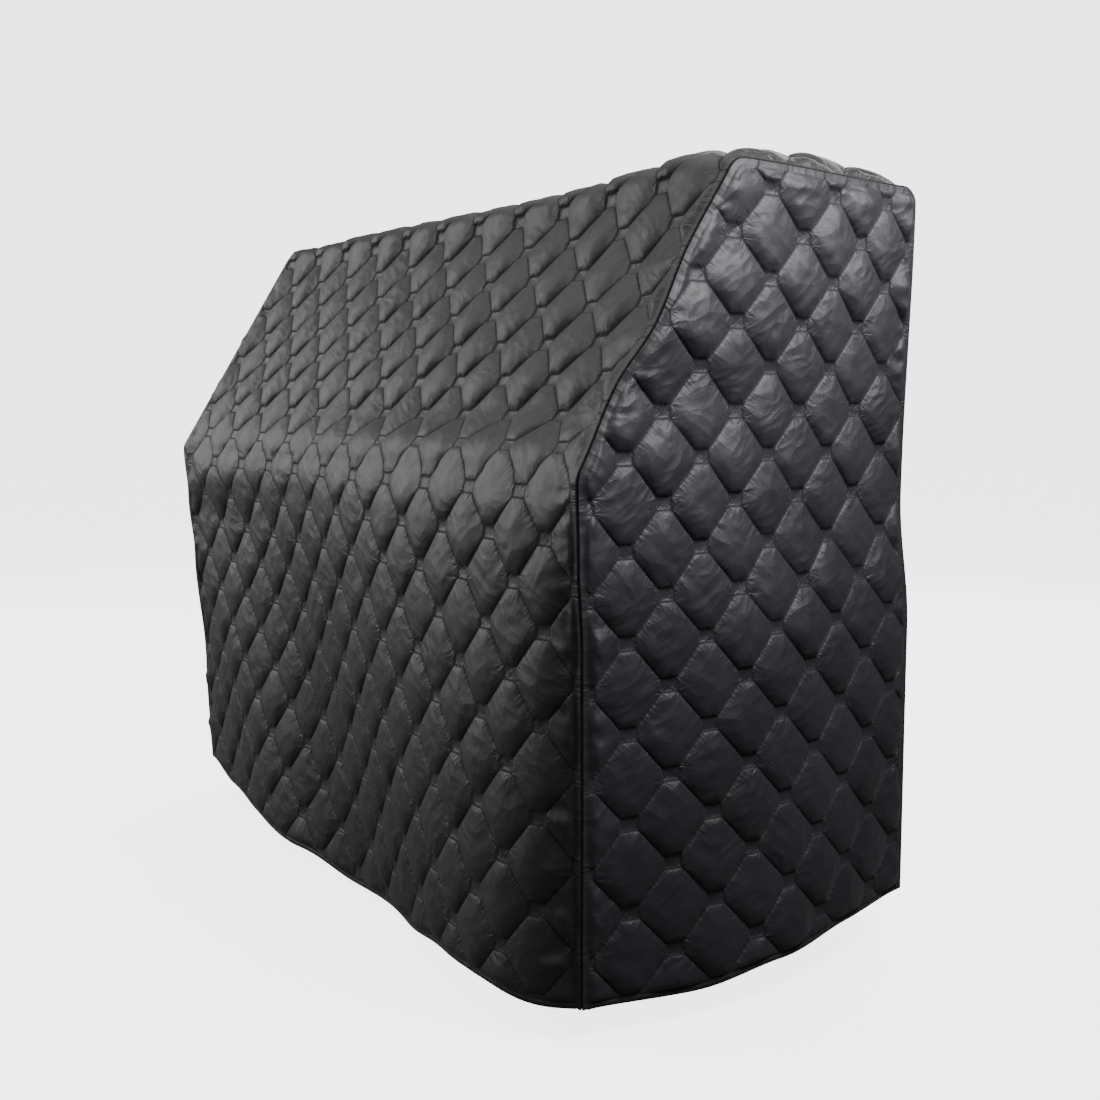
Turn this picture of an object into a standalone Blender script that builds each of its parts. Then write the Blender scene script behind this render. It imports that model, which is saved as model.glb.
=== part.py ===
"""Fitted cover for an upright piano, sewn from quilted cloth.

One long body cloth runs up the front, round the keyboard edge, up the slope, over the top and down the
back. Two end panels cut to the same side outline close its ends. Metres, +Z up, the keyboard side faces -Y,
and the hem's lowest point is at z = 0. Cloth that is sewn turns in at the seam, where the two right sides meet.
"""

import math

import bpy
import numpy as np

# Side outline, between the seams.
LENGTH = 1.530
DEPTH = 0.668
TOP_HEIGHT = 1.235
KEYBOARD_EDGE_HEIGHT = 0.793
SLOPE_RUN = 0.272
CORNER_RADIUS = 0.022

# Cloth and seams.
CLOTH_THICKNESS = 0.004
PIECE_GAP = 0.0006
TURN_RADIUS = 0.003
SEAM_ALLOWANCE = 0.008
SEAM_REACH_RIGHT = 0.045
SEAM_REACH_LEFT = 0.050
PANEL_SEAM_REACH = 0.050
TURN_STEPS = 3

# Where the origin lies: under the middle of the cover's own box.
BOX_SHIFT_X = -0.0270
BOX_SHIFT_Y = 0.0240

# Side outline corners from the front hem to the back hem: y, z.
OUTLINE = np.array([
    (-DEPTH / 2, 0.0),
    (-DEPTH / 2, KEYBOARD_EDGE_HEIGHT),
    (-DEPTH / 2 + SLOPE_RUN, TOP_HEIGHT),
    (DEPTH / 2, TOP_HEIGHT),
    (DEPTH / 2, 0.0),
])
SPANS = np.linalg.norm(np.diff(OUTLINE, axis=0), axis=1)
KEYBOARD_EDGE = SPANS[0]
TOP_FRONT = KEYBOARD_EDGE + SPANS[1]
TOP_BACK = TOP_FRONT + SPANS[2]
BACK_HEM = TOP_BACK + SPANS[3]

# How far each end seam is drawn in along the outline.
# place along the outline, right in (x), right sunk, left in (x), left sunk
SEAM_DRAW = np.array([
    (0.0, 0.000, 0.000, 0.050, 0.030),
    (0.30, 0.000, 0.000, 0.045, 0.022),
    (0.55, 0.000, -0.001, 0.030, 0.008),
    (0.68, 0.002, -0.006, 0.013, 0.003),
    (KEYBOARD_EDGE, 0.004, -0.007, 0.000, 0.000),
    (0.93, 0.012, -0.010, 0.000, 0.000),
    (1.04, 0.003, -0.002, 0.000, 0.000),
    (1.17, 0.008, -0.008, 0.000, 0.000),
    (TOP_FRONT, 0.000, -0.008, 0.000, 0.000),
    (TOP_BACK, 0.011, 0.000, 0.010, 0.000),
    (2.20, 0.024, 0.000, 0.012, 0.000),
    (2.42, 0.002, 0.000, 0.016, 0.000),
    (BACK_HEM, 0.000, 0.000, 0.025, 0.012),
])

# How far the body cloth stands off the outline between the folds: place along the outline, swell.
BODY_SWELL = np.array([
    (0.0, -0.025),
    (0.70, -0.028),
    (0.83, -0.022),
    (1.00, -0.013),
    (1.26, -0.014),
    (TOP_FRONT, 0.002),
    (1.40, 0.020),
    (1.50, 0.029),
    (TOP_BACK, 0.016),
    (2.00, 0.002),
    (BACK_HEM, 0.000),
])

# Folds of the body cloth: x and place along the outline at the foot, the same at the head, half-width,
# swell at the foot and at the head, and the length over which the fold dies away past its ends.
BODY_FOLDS = {
    "front belly by the right seam": (0.623, 0.0, 0.498, KEYBOARD_EDGE, 0.80, 0.104, 0.041, 0.13),
    "front trough": (0.110, 0.0, -0.335, KEYBOARD_EDGE, 0.35, -0.059, 0.000, 0.13),
    "front belly on the left": (-0.214, 0.0, -0.735, KEYBOARD_EDGE, 0.20, 0.036, 0.000, 0.13),
    "fullness at the keyboard edge's left end": (-0.700, 0.74, -0.700, 0.90, 0.26, 0.022, 0.014, 0.10),
    "rise at the top's right end": (0.700, 1.26, 0.680, 1.62, 0.22, 0.018, 0.020, 0.10),
    "back fold on the right": (0.420, BACK_HEM, 0.470, 2.05, 0.20, 0.020, 0.004, 0.20),
    "back fold in the middle": (-0.060, BACK_HEM, 0.020, 2.20, 0.24, 0.014, 0.000, 0.20),
    "back fold on the left": (-0.500, BACK_HEM, -0.440, 2.05, 0.18, 0.018, 0.003, 0.20),
}

# Folds of an end panel: y and z at the foot, the same at the head, half-width, swell at foot and head, fade.
RIGHT_PANEL_FOLDS = {
    "belly": (0.000, 0.0, 0.010, 1.00, 0.26, 0.060, -0.004, 0.10),
}
LEFT_PANEL_FOLDS = {
    "belly": (0.020, 0.0, 0.000, 0.95, 0.24, 0.028, 0.000, 0.10),
}

# Height of the body cloth's hems: share of the width from the left seam, front height, back height.
BODY_HEM = np.array([
    (0.00, 0.072, 0.052),
    (0.11, 0.048, 0.046),
    (0.22, 0.036, 0.040),
    (0.38, 0.021, 0.044),
    (0.51, 0.000, 0.050),
    (0.68, 0.016, 0.046),
    (0.81, 0.041, 0.050),
    (0.90, 0.046, 0.058),
    (1.00, 0.038, 0.072),
])

# Height of the end panels' hems from the front seam to the back seam: share of the width, right, left.
PANEL_HEM = np.array([
    (0.0, 0.038, 0.072),
    (0.25, 0.035, 0.062),
    (0.5, 0.052, 0.052),
    (0.75, 0.067, 0.048),
    (1.0, 0.072, 0.052),
])

# Rows of both cloths up the front and slope, and columns across.
FRONT_ROWS = 8
SLOPE_ROWS = 8
CORNER_ROWS = 3
BODY_COLUMNS = 20
PANEL_COLUMNS = 7

BODY_COLOUR = (0.020, 0.020, 0.022, 1.0)
PANEL_COLOUR = (0.022, 0.022, 0.026, 1.0)
CLOTH_ROUGHNESS = 0.45


def eased(place, places, values):
    """Read a short table, easing in and out at each of its rows."""
    row = np.clip(np.searchsorted(places, place, side="right") - 1, 0, len(places) - 2)
    share = np.clip((place - places[row]) / (places[row + 1] - places[row]), 0.0, 1.0)
    share = (1 - np.cos(math.pi * share)) / 2
    return values[row] + (values[row + 1] - values[row]) * share


def outline(place):
    """Points and outward directions on the side outline, its corners rounded, at distances from the front hem."""
    place = np.asarray(place, float)
    starts = np.concatenate([[0.0], np.cumsum(SPANS)])
    ways = np.diff(OUTLINE, axis=0) / SPANS[:, None]
    span = np.clip(np.searchsorted(starts, place, side="right") - 1, 0, len(SPANS) - 1)
    points = OUTLINE[span] + ways[span] * (place - starts[span])[..., None]
    heading = np.arctan2(ways[:, 1], ways[:, 0])[span]
    for corner in range(1, len(SPANS)):
        before = math.atan2(ways[corner - 1, 1], ways[corner - 1, 0])
        turn = before - math.atan2(ways[corner, 1], ways[corner, 0])
        tangent = CORNER_RADIUS * math.tan(turn / 2)
        share = (place - starts[corner] + tangent) / (2 * tangent)
        inside = (share > 0) & (share < 1)
        angle = before - turn * share
        start = OUTLINE[corner] - ways[corner - 1] * tangent
        hub = start + CORNER_RADIUS * np.array([math.sin(before), -math.cos(before)])
        arc = hub + CORNER_RADIUS * np.stack([-np.sin(angle), np.cos(angle)], axis=-1)
        points = np.where(inside[..., None], arc, points)
        heading = np.where(inside, angle, heading)
    return points, np.stack([-np.sin(heading), np.cos(heading)], axis=-1)


def fold_swell(across, along, folds):
    """Total swell of the folds at points given across and along the cloth."""
    swell = np.zeros(np.broadcast(across, along).shape)
    for foot_across, foot_along, head_across, head_along, half_width, foot, head, fade in folds.values():
        share = (along - foot_along) / (head_along - foot_along)
        inside = np.clip(share, 0.0, 1.0)
        past = np.abs(share - inside) * abs(head_along - foot_along) / fade
        dying = (1 + np.cos(math.pi * np.clip(past, 0.0, 1.0))) / 2
        middle = foot_across + (head_across - foot_across) * inside
        ridge = np.exp(-(((across - middle) / half_width) ** 2))
        swell = swell + (foot + (head - foot) * inside) * ridge * dying
    return swell


def seam_draw(side, place):
    """How far the right (side 1) or left (side -1) seam is drawn in along X, and sunk towards the inside."""
    column = 1 if side > 0 else 3
    places = SEAM_DRAW[:, 0]
    return eased(place, places, SEAM_DRAW[:, column]), eased(place, places, SEAM_DRAW[:, column + 1])


def seam(side, place):
    """The seam line's x, its points in the side plane, and its outward directions."""
    drawn, sunk = seam_draw(side, place)
    points, normals = outline(place)
    return side * (LENGTH / 2 - drawn), points - normals * sunk[..., None], normals


def turn_section():
    """The cloth where it turns into the seam, as pairs: distance from the seam line, standing off it.

    Runs from the seam allowance's raw edge to the top of the roll beside the seam.
    """
    stand = (TURN_RADIUS + CLOTH_THICKNESS + PIECE_GAP / 2) / math.sqrt(2)
    angles = np.radians(np.linspace(225, 90, TURN_STEPS + 1))
    turn = np.stack([stand + TURN_RADIUS * np.cos(angles), stand + TURN_RADIUS * np.sin(angles)], axis=-1)
    raw_edge = turn[0] + SEAM_ALLOWANCE * np.array([1.0, -1.0]) / math.sqrt(2)
    return np.vstack([raw_edge, turn])


def places_at(heights):
    """Places on the outline at these heights: up the front and slope, and up the back."""
    slope_angle = math.atan2(TOP_HEIGHT - KEYBOARD_EDGE_HEIGHT, SLOPE_RUN)
    found = []
    for hem, top in (
        (0.0, TOP_FRONT + CORNER_RADIUS * math.tan(slope_angle / 2)),
        (BACK_HEM, TOP_BACK - CORNER_RADIUS),
    ):
        places = np.linspace(hem, top, 4000)
        points, _ = outline(places)
        found.append(np.interp(heights, points[:, 1], places))
    return found


def row_heights():
    """Heights of the rows that all three cloths share, close round the keyboard edge and the top corners."""
    slope_angle = math.atan2(TOP_HEIGHT - KEYBOARD_EDGE_HEIGHT, SLOPE_RUN)
    edge_half = CORNER_RADIUS * math.tan((math.pi / 2 - slope_angle) / 2)
    turn = np.append(np.linspace(0.0, slope_angle, CORNER_ROWS + 1), math.pi / 2)
    below_top = TOP_HEIGHT - CORNER_RADIUS * (1 - np.cos(turn[::-1]))
    front = np.linspace(0.0, KEYBOARD_EDGE_HEIGHT - edge_half, FRONT_ROWS + 1)
    slope = np.linspace(KEYBOARD_EDGE_HEIGHT + edge_half, below_top[0], SLOPE_ROWS + 1)
    return np.concatenate([front, [KEYBOARD_EDGE_HEIGHT], slope, below_top[1:]])


def hem_rise(hem, heights):
    """How far a cloth's rows are raised by its hem, dying away at the keyboard edge's height."""
    return hem * np.clip(1 - heights / KEYBOARD_EDGE_HEIGHT, 0.0, 1.0)


def body_places(shares):
    """Places along the outline of the body cloth's points: a row for each place, a column for each share."""
    heights = row_heights()
    front, back = places_at(heights)
    top = np.linspace(front[-1], back[-1], PANEL_COLUMNS + 1)[1:-1]
    front_hem = eased(shares, BODY_HEM[:, 0], BODY_HEM[:, 1])
    back_hem = eased(shares, BODY_HEM[:, 0], BODY_HEM[:, 2])
    return np.vstack([
        front[:, None] + hem_rise(front_hem, heights[:, None]),
        np.repeat(top[:, None], len(shares), axis=1),
        (back[:, None] - hem_rise(back_hem, heights[:, None]))[::-1],
    ])


def body_points():
    """The body cloth's inner face as a grid of points: rows along the outline, columns from left to right."""
    section = turn_section()
    inset, rolled = section[-1]
    shares = np.linspace(0.0, 1.0, BODY_COLUMNS + 1)
    place = body_places(shares)
    left_x, _, _ = seam(-1, place[:, :1])
    right_x, _, _ = seam(1, place[:, -1:])
    _, sunk_left = seam_draw(-1, place[:, :1])
    _, sunk_right = seam_draw(1, place[:, -1:])
    from_left = (right_x - left_x - 2 * inset) * shares
    from_right = (right_x - left_x - 2 * inset) * (1 - shares)
    x = left_x + inset + from_left
    near_left = np.exp(-from_left / SEAM_REACH_LEFT)
    near_right = np.exp(-from_right / SEAM_REACH_RIGHT)
    free = eased(place, BODY_SWELL[:, 0], BODY_SWELL[:, 1]) + fold_swell(x, place, BODY_FOLDS)
    off = rolled + free * (1 - near_left) * (1 - near_right) - sunk_left * near_left - sunk_right * near_right
    turn = section[:-1]
    x = np.hstack([left_x + turn[:, 0], x, right_x - turn[::-1, 0]])
    off = np.hstack([turn[:, 1] - sunk_left, off, turn[::-1, 1] - sunk_right])
    place = np.hstack([np.repeat(place[:, :1], len(turn), 1), place, np.repeat(place[:, -1:], len(turn), 1)])
    points, normals = outline(place)
    return np.concatenate([x[..., None], points + normals * off[..., None]], axis=-1)


def panel_off(side, y, z):
    """How far an end panel stands off the plane between its seams."""
    section = turn_section()
    to_front = y + DEPTH / 2
    run, rise = SLOPE_RUN, TOP_HEIGHT - KEYBOARD_EDGE_HEIGHT
    to_slope = ((y + DEPTH / 2) * rise - (z - KEYBOARD_EDGE_HEIGHT) * run) / math.hypot(run, rise)
    to_top = TOP_HEIGHT - z
    to_back = DEPTH / 2 - y
    held = 1.0
    for distance in (to_front, to_slope, to_top, to_back):
        free_length = np.clip(distance - section[-1, 0], 0.0, None)
        held = held * (1 - np.exp(-free_length / PANEL_SEAM_REACH))
    folds = RIGHT_PANEL_FOLDS if side > 0 else LEFT_PANEL_FOLDS
    return section[-1, 1] + held * fold_swell(y, z, folds)


def panel_grid(side):
    """An end panel's inner face between its seam turns, and the places of its sewn edge from hem to hem."""
    inset = turn_section()[-1, 0]
    across = np.linspace(0.0, 1.0, PANEL_COLUMNS + 1)
    hem = eased(across, PANEL_HEM[:, 0], PANEL_HEM[:, 1 if side > 0 else 2])
    heights = row_heights()
    front, back = places_at(heights)
    front = front + hem_rise(hem[0], heights)
    back = back - hem_rise(hem[-1], heights)
    front_x, front_point, front_normal = seam(side, front)
    back_x, back_point, back_normal = seam(side, back)
    near = (front_point - front_normal * inset)[:, None]
    far = (back_point - back_normal * inset)[:, None]
    blend = (1 - np.cos(math.pi * across)) / 2
    own_hem = hem - hem[0] - (hem[-1] - hem[0]) * blend
    y = near[..., 0] + (far - near)[..., 0] * across
    z = near[..., 1] + (far - near)[..., 1] * blend + hem_rise(own_hem, heights[:, None])
    x = front_x[:, None] + (back_x - front_x)[:, None] * blend + side * panel_off(side, y, z)
    top = np.linspace(front[-1], back[-1], PANEL_COLUMNS + 1)[1:-1]
    return np.stack([x, y, z], axis=-1), np.concatenate([front, top, back[::-1]])


def panel_turns(side, places):
    """Points of an end panel's sewn border, turn by turn towards the raw edge."""
    x, points, normals = seam(side, places)
    turns = []
    for distance, standing in turn_section()[-2::-1]:
        turns.append(np.column_stack([x + side * standing, points - normals * distance]))
    return turns


def cloth_material(name, colour):
    """A plain satin cloth."""
    material = bpy.data.materials.new(name)
    material.use_nodes = True
    surface = material.node_tree.nodes["Principled BSDF"]
    surface.inputs["Base Color"].default_value = colour
    surface.inputs["Roughness"].default_value = CLOTH_ROUGHNESS
    surface.inputs["Metallic"].default_value = 0.0
    material.diffuse_color = colour
    return material


def cloth_object(name, points, faces, colour, collection):
    """A cloth of even thickness on the given inner face, whose faces look outwards."""
    mesh = bpy.data.meshes.new(name)
    shift = np.array([BOX_SHIFT_X, BOX_SHIFT_Y, 0.0])
    mesh.from_pydata((points + shift).tolist(), [], faces)
    mesh.materials.append(cloth_material(name + "_cloth", colour))
    cloth = bpy.data.objects.new(name, mesh)
    collection.objects.link(cloth)
    thickness = cloth.modifiers.new("thickness", "SOLIDIFY")
    thickness.thickness = CLOTH_THICKNESS
    thickness.offset = 1.0
    mesh.shade_smooth()
    return cloth


def grid_faces(rows, columns, flip):
    """Quads of a grid whose points are listed row by row."""
    faces = []
    for row in range(rows - 1):
        for column in range(columns - 1):
            corner = row * columns + column
            quad = (corner, corner + 1, corner + columns + 1, corner + columns)
            faces.append(quad[::-1] if flip else quad)
    return faces


def build_body(collection):
    """The long cloth over front, slope, top and back."""
    points = body_points()
    rows, columns, _ = points.shape
    faces = grid_faces(rows, columns, False)
    return cloth_object("body_cloth", points.reshape(-1, 3), faces, BODY_COLOUR, collection)


def build_panel(name, side, collection):
    """One end panel: its field, and its sewn border turned in along front, slope, top and back."""
    grid, places = panel_grid(side)
    rows, columns, _ = grid.shape
    index = np.arange(rows * columns).reshape(rows, columns)
    edge = np.concatenate([index[:, 0], index[-1, 1:-1], index[::-1, -1]])
    points = [grid.reshape(-1, 3)]
    faces = grid_faces(rows, columns, side < 0)
    count = rows * columns
    for turn in panel_turns(side, places):
        outer = np.arange(len(turn)) + count
        for here in range(len(turn) - 1):
            quad = (int(edge[here]), int(edge[here + 1]), int(outer[here + 1]), int(outer[here]))
            faces.append(quad if side > 0 else quad[::-1])
        points.append(turn)
        edge = outer
        count += len(turn)
    return cloth_object(name, np.vstack(points), faces, PANEL_COLOUR, collection)


def main():
    """Clear the scene and build the cover."""
    for old in list(bpy.data.objects):
        bpy.data.objects.remove(old, do_unlink=True)
    collection = bpy.data.collections.new("piano_cover")
    bpy.context.scene.collection.children.link(collection)
    build_body(collection)
    build_panel("right_end_panel", 1, collection)
    build_panel("left_end_panel", -1, collection)


main()
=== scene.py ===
"""Looks of a quilted cover for an upright piano: three puffed, seamed and hemmed cloths in a plain studio."""

from __future__ import annotations

import logging
import math
from dataclasses import dataclass
from enum import Enum

import bmesh
import bpy
import numpy as np
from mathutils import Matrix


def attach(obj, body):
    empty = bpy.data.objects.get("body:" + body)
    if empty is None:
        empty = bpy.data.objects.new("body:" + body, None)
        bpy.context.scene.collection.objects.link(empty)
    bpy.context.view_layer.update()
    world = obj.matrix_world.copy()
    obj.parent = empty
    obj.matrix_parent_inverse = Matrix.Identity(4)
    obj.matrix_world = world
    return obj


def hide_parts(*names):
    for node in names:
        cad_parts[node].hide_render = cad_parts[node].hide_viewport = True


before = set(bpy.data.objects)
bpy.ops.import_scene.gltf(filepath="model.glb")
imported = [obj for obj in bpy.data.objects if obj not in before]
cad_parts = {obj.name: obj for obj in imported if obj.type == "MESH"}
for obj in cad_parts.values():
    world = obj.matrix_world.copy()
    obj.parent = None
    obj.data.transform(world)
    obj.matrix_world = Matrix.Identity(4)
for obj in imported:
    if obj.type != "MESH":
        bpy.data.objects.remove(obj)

LOG = logging.getLogger("piano_cover")

Array = np.ndarray
Pair = tuple[float, float]
Triple = tuple[float, float, float]
Faces = list[tuple[int, ...]]
Edges = list[tuple[int, int]]
Floats = tuple[float, ...]
Table = tuple[Floats, ...]
Piece = bpy.types.Object
Tree = bpy.types.NodeTree
Node = bpy.types.Node
Socket = bpy.types.NodeSocket

# Points closer than this are one point, in metres.
WELD = 3e-4
# Spread sines out into values that look random.
SCATTER = 43758.5453
NOISE_MIX: Triple = (127.1, 311.7, 74.7)
PUFF_MIX: Triple = (12.9898, 78.233, 3.1)
MILLIMETRE = 0.001


class End(Enum):
    """An end of the piano; its value is which way along X is outwards there."""

    RIGHT = 1
    LEFT = -1


def within(distance: Array, run: Array | float = 1.0) -> Array:
    """How far along a run a distance reaches, from 0 to 1."""
    return np.clip(distance / run, 0.0, 1.0)


def fade(distance: Array, reach: float) -> Array:
    """Fade from 1 at no distance towards 0."""
    return np.exp(-np.clip(distance, 0.0, None) / reach)


def eased(place: Array, table: Table, column: int) -> Array:
    """Read a short table, easing in and out at each of its rows.

    Args:
        place: Where to read it.
        table: Its rows; the first column is where each row stands, rising.
        column: Which column to read.

    Returns:
        The eased value at each place.
    """
    places, values = np.array(table)[:, 0], np.array(table)[:, column]
    row = np.clip(np.searchsorted(places, place, side="right") - 1, 0, len(places) - 2)
    share = within(place - places[row], places[row + 1] - places[row])
    share = (1 - np.cos(math.pi * share)) / 2
    return values[row] + (values[row + 1] - values[row]) * share


def scattered(column: Array, row: Array, seed: int, mix: Triple) -> Array:
    """A fixed value from 0 to 1 for each lattice point, mixed from its column, row and seed."""
    mixed = np.sin(column * mix[0] + row * mix[1] + seed * mix[2]) * SCATTER
    return mixed - np.floor(mixed)


def noise(across: Array, along: Array, seed: int) -> Array:
    """Smooth noise from -1 to 1 with features one unit apart.

    Args:
        across: First coordinate, in features.
        along: Second coordinate, in features.
        seed: Which noise.

    Returns:
        The noise at each point.
    """
    column, row = np.floor(across), np.floor(along)
    x, y = across - column, along - row
    x, y = x * x * (3 - 2 * x), y * y * (3 - 2 * y)

    def knot(right: int, up: int) -> Array:
        """A fixed value from -1 to 1 for a lattice point."""
        return 2 * scattered(column + right, row + up, seed, NOISE_MIX) - 1

    low = knot(0, 0) * (1 - x) + knot(1, 0) * x
    high = knot(0, 1) * (1 - x) + knot(1, 1) * x
    return low * (1 - y) + high * y


@dataclass(frozen=True)
class Outline:
    """The cover's side outline, from the front hem up, over and down to the back hem."""

    depth: float = 0.668
    height: float = 1.235
    edge_height: float = 0.793
    slope_run: float = 0.272
    corner_radius: float = 0.022

    @property
    def corners(self) -> Array:
        """Find the corners.

        Returns:
            Their y and z.
        """
        half = self.depth / 2
        return np.array([
            (-half, 0.0), (-half, self.edge_height), (-half + self.slope_run, self.height),
            (half, self.height), (half, 0.0),
        ])

    @property
    def spans(self) -> Array:
        """Lengths between the corners."""
        return np.linalg.norm(np.diff(self.corners, axis=0), axis=1)

    @property
    def stations(self) -> Array:
        """Distances of the corners from the front hem."""
        return np.concatenate([[0.0], np.cumsum(self.spans)])

    @property
    def top_run(self) -> Pair:
        """Find the flat top, clear of its rounded corners.

        Returns:
            Where it starts and ends on the outline.
        """
        slope = math.atan2(self.height - self.edge_height, self.slope_run)
        _, _, front, back, _ = (float(station) for station in self.stations)
        return front + self.corner_radius * math.tan(slope / 2), back - self.corner_radius

    def at(self, place: Array) -> tuple[Array, Array]:
        """Find points on the outline.

        Args:
            place: Distances from the front hem.

        Returns:
            The points and their outward directions, as y and z.
        """
        corners, spans, starts = self.corners, self.spans, self.stations
        ways = np.diff(corners, axis=0) / spans[:, None]
        span = np.clip(np.searchsorted(starts, place, side="right") - 1, 0, len(spans) - 1)
        points = corners[span] + ways[span] * (place - starts[span])[..., None]
        heading = np.arctan2(ways[:, 1], ways[:, 0])[span]
        for corner in range(1, len(spans)):
            before = math.atan2(ways[corner - 1, 1], ways[corner - 1, 0])
            turn = before - math.atan2(ways[corner, 1], ways[corner, 0])
            tangent = self.corner_radius * math.tan(turn / 2)
            share = (place - starts[corner] + tangent) / (2 * tangent)
            inside = (share > 0) & (share < 1)
            angle = before - turn * share
            start = corners[corner] - ways[corner - 1] * tangent
            hub = start + self.corner_radius * np.array([math.sin(before), -math.cos(before)])
            arc = hub + self.corner_radius * np.stack([-np.sin(angle), np.cos(angle)], axis=-1)
            points = np.where(inside[..., None], arc, points)
            heading = np.where(inside, angle, heading)
        return points, np.stack([-np.sin(heading), np.cos(heading)], axis=-1)


@dataclass(frozen=True)
class Fold:
    """A soft fold of hanging cloth: a ridge (or, if negative, a trough) from its foot to its head."""

    foot: Pair
    head: Pair
    half_width: float
    swell: Pair
    fade: float

    def at(self, across: Array, along: Array) -> Array:
        """How far the fold stands off.

        Args:
            across: Place across the fold.
            along: Place along the fold.

        Returns:
            The swell at each point, in metres.
        """
        run = self.head[1] - self.foot[1]
        share = (along - self.foot[1]) / run
        inside = within(share)
        past = np.abs(share - inside) * abs(run) / self.fade
        dying = (1 + np.cos(math.pi * within(past))) / 2
        middle = self.foot[0] + (self.head[0] - self.foot[0]) * inside
        ridge = np.exp(-(((across - middle) / self.half_width) ** 2))
        return (self.swell[0] + (self.swell[1] - self.swell[0]) * inside) * ridge * dying


OUTLINE = Outline()
KEYBOARD_EDGE, TOP_FRONT, TOP_BACK, BACK_HEM = (float(station) for station in OUTLINE.stations[1:])


@dataclass(frozen=True)
class Drape:
    """How the three cloths hang: their seams, their hems, and the folds of the loose cloth between them.

    The tables are the CAD solids' own, so that each cloth lies on its solid.
    """

    length: float = 1.530
    shift: Triple = (-0.0270, 0.0240, 0.0)
    turn_radius: float = 0.003
    thickness: float = 0.004
    gap: float = 0.0006
    allowance: float = 0.008
    reach_right: float = 0.045
    reach_left: float = 0.050
    panel_reach: float = 0.050
    edge_samples: int = 3000
    edge_softness: float = 0.070
    edge_radius: float = 0.160
    # Place along the outline; right seam drawn in and sunk; left seam drawn in and sunk.
    seam_draw: Table = (
        (0.0, 0.000, 0.000, 0.050, 0.030), (0.30, 0.000, 0.000, 0.045, 0.022),
        (0.55, 0.000, -0.001, 0.030, 0.008), (0.68, 0.002, -0.006, 0.013, 0.003),
        (KEYBOARD_EDGE, 0.004, -0.007, 0.000, 0.000), (0.93, 0.012, -0.010, 0.000, 0.000),
        (1.04, 0.003, -0.002, 0.000, 0.000), (1.17, 0.008, -0.008, 0.000, 0.000),
        (TOP_FRONT, 0.000, -0.008, 0.000, 0.000), (TOP_BACK, 0.011, 0.000, 0.010, 0.000),
        (2.20, 0.024, 0.000, 0.012, 0.000), (2.42, 0.002, 0.000, 0.016, 0.000),
        (BACK_HEM, 0.000, 0.000, 0.025, 0.012),
    )
    # Place along the outline, and how far the body cloth stands off there between its folds.
    body_swell: Table = (
        (0.0, -0.025), (0.70, -0.028), (0.83, -0.022), (1.00, -0.013), (1.26, -0.014), (TOP_FRONT, 0.002),
        (1.40, 0.020), (1.50, 0.029), (TOP_BACK, 0.016), (2.00, 0.002), (BACK_HEM, 0.000),
    )
    # Folds of the body cloth: x and place along the outline at the foot and the head.
    body_folds: tuple[Fold, ...] = (
        Fold((0.623, 0.0), (0.498, KEYBOARD_EDGE), 0.80, (0.104, 0.041), 0.13),
        Fold((0.110, 0.0), (-0.335, KEYBOARD_EDGE), 0.35, (-0.059, 0.000), 0.13),
        Fold((-0.214, 0.0), (-0.735, KEYBOARD_EDGE), 0.20, (0.036, 0.000), 0.13),
        Fold((-0.700, 0.74), (-0.700, 0.90), 0.26, (0.022, 0.014), 0.10),
        Fold((0.700, 1.26), (0.680, 1.62), 0.22, (0.018, 0.020), 0.10),
        Fold((0.420, BACK_HEM), (0.470, 2.05), 0.20, (0.020, 0.004), 0.20),
        Fold((-0.060, BACK_HEM), (0.020, 2.20), 0.24, (0.014, 0.000), 0.20),
        Fold((-0.500, BACK_HEM), (-0.440, 2.05), 0.18, (0.018, 0.003), 0.20),
    )
    # Share of the width from the left seam, height of the front hem, height of the back hem.
    body_hem: Table = (
        (0.00, 0.072, 0.052), (0.11, 0.048, 0.046), (0.22, 0.036, 0.040), (0.38, 0.021, 0.044),
        (0.51, 0.000, 0.050), (0.68, 0.016, 0.046), (0.81, 0.041, 0.050), (0.90, 0.046, 0.058),
        (1.00, 0.038, 0.072),
    )
    # Share of the depth from the front seam, height of the right and of the left panel's hem.
    panel_hem: Table = (
        (0.0, 0.038, 0.072), (0.25, 0.035, 0.062), (0.5, 0.052, 0.052), (0.75, 0.067, 0.048),
        (1.0, 0.072, 0.052),
    )

    @property
    def panel_folds(self) -> dict[End, Fold]:
        """The belly of each end panel: y and z at the foot and the head."""
        right = Fold((0.000, 0.0), (0.010, 1.00), 0.26, (0.060, -0.004), 0.10)
        return {End.RIGHT: right, End.LEFT: Fold((0.020, 0.0), (0.000, 0.95), 0.24, (0.028, 0.000), 0.10)}

    def seam(self, end: End, place: Array) -> tuple[Array, Array, Array, Array]:
        """Find an end's seam line.

        Args:
            end: Which end.
            place: Distances along the outline from the front hem.

        Returns:
            Its x, its points and outward directions in the side plane, and how far it has sunk.
        """
        column = 1 if end is End.RIGHT else 3
        drawn, sunk = eased(place, self.seam_draw, column), eased(place, self.seam_draw, column + 1)
        points, normals = OUTLINE.at(place)
        return end.value * (self.length / 2 - drawn), points - normals * sunk[..., None], normals, sunk

    @property
    def roll(self) -> Pair:
        """Where the roll beside a seam tops out: distance from the seam line, and standing off it."""
        stand = (self.turn_radius + self.thickness + self.gap / 2) / math.sqrt(2)
        return stand, stand + self.turn_radius

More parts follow.
